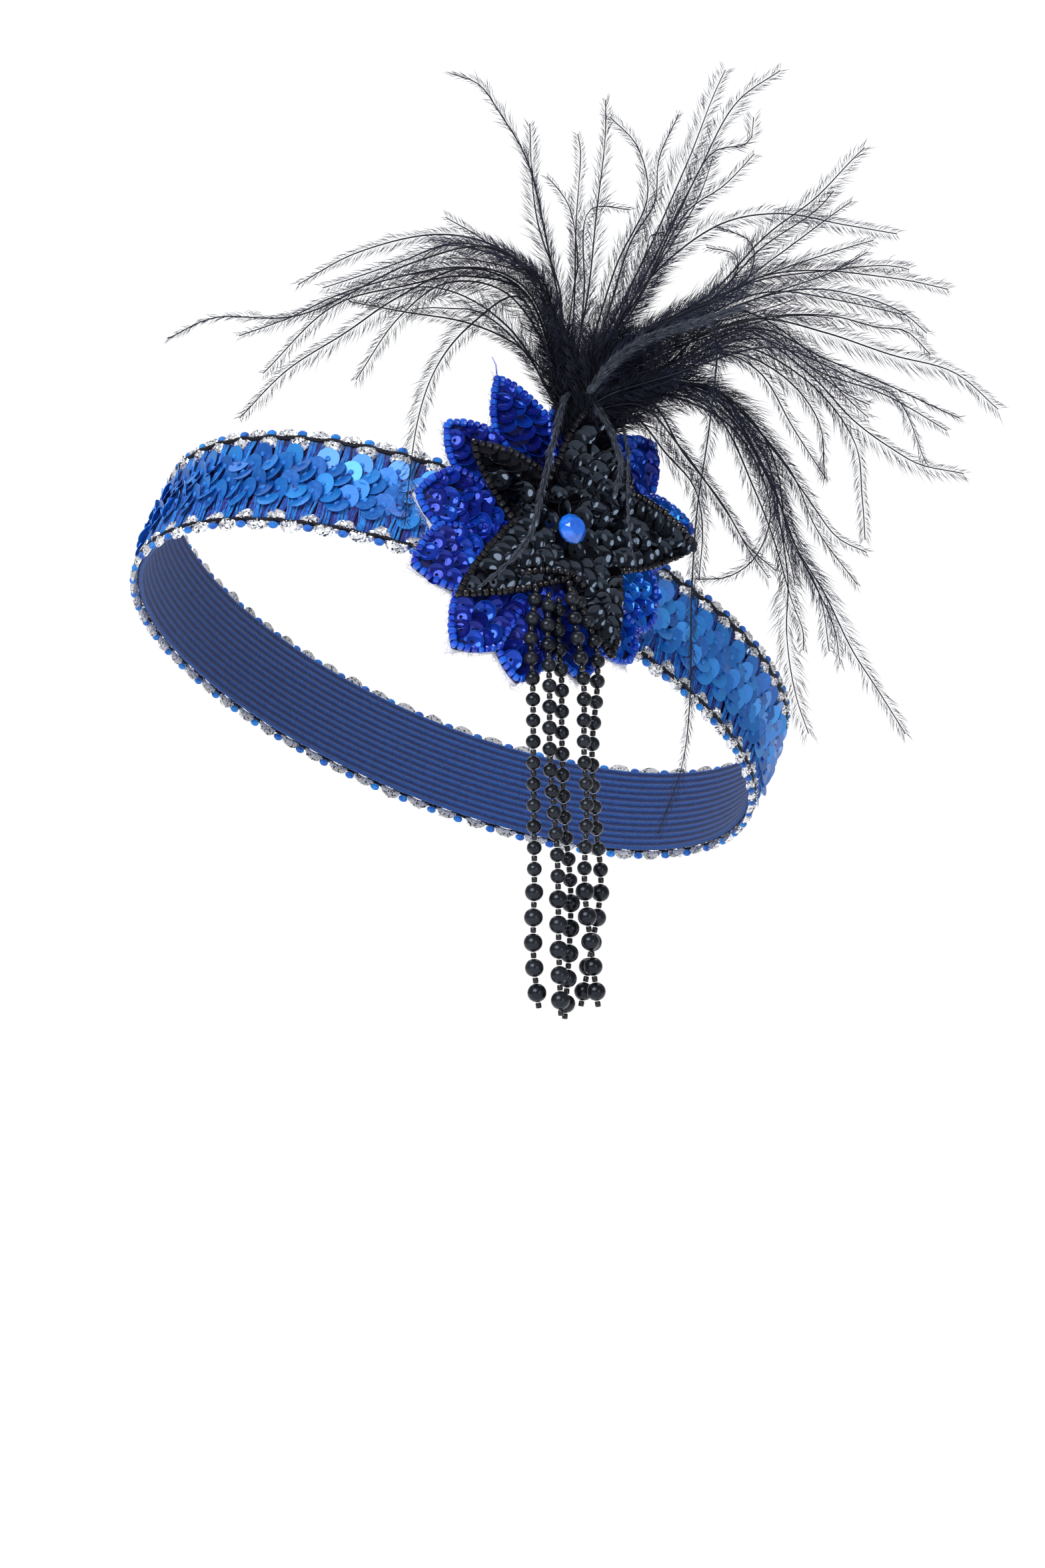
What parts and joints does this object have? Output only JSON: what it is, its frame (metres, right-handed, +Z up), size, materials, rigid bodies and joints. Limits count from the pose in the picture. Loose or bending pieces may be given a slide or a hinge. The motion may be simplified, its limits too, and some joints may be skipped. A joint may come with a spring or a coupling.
{
  "type": "flapper headband",
  "caption": "Sequinned elastic headband with silver scalloped trim, a layered blue and black beaded flower at one temple, hanging strings of black beads and a black ostrich plume.",
  "frame": {"origin": "centre of the band's loop, half way up the band", "axes": "+Z up as worn; the brow side of the band faces -Y; the flower, beads and plume are on the +X side, at the wearer's left temple"},
  "size_m": [0.2305, 0.2294, 0.249],
  "materials": {
    "band_cloth": "matte knitted elastic",
    "sequins": "pearl satin",
    "silver_braid": "crinkled silver thread with a black cord",
    "white_felt": "matte felt",
    "blue_beadwork": "glossy seed beads and cup sequins",
    "black_beadwork": "glossy seed beads and cup sequins",
    "blue_stone": "faceted gloss",
    "black_pearl": "satin gloss",
    "black_feather": "soft ostrich strands"
  },
  "bodies": {
    "root": {"band_cloth": "band_cloth", "sequin_rows": "sequins", "top_braid": "silver_braid", "bottom_braid": "silver_braid", "felt_backing": "white_felt", "blue_star": "blue_beadwork", "black_flower": "black_beadwork", "centre_stone": "blue_stone", "bead_strand_1": "black_pearl", "bead_strand_2": "black_pearl", "bead_strand_3": "black_pearl", "bead_strand_4": "black_pearl", "bead_strand_5": "black_pearl", "plume": "black_feather"}
  },
  "joints": []
}
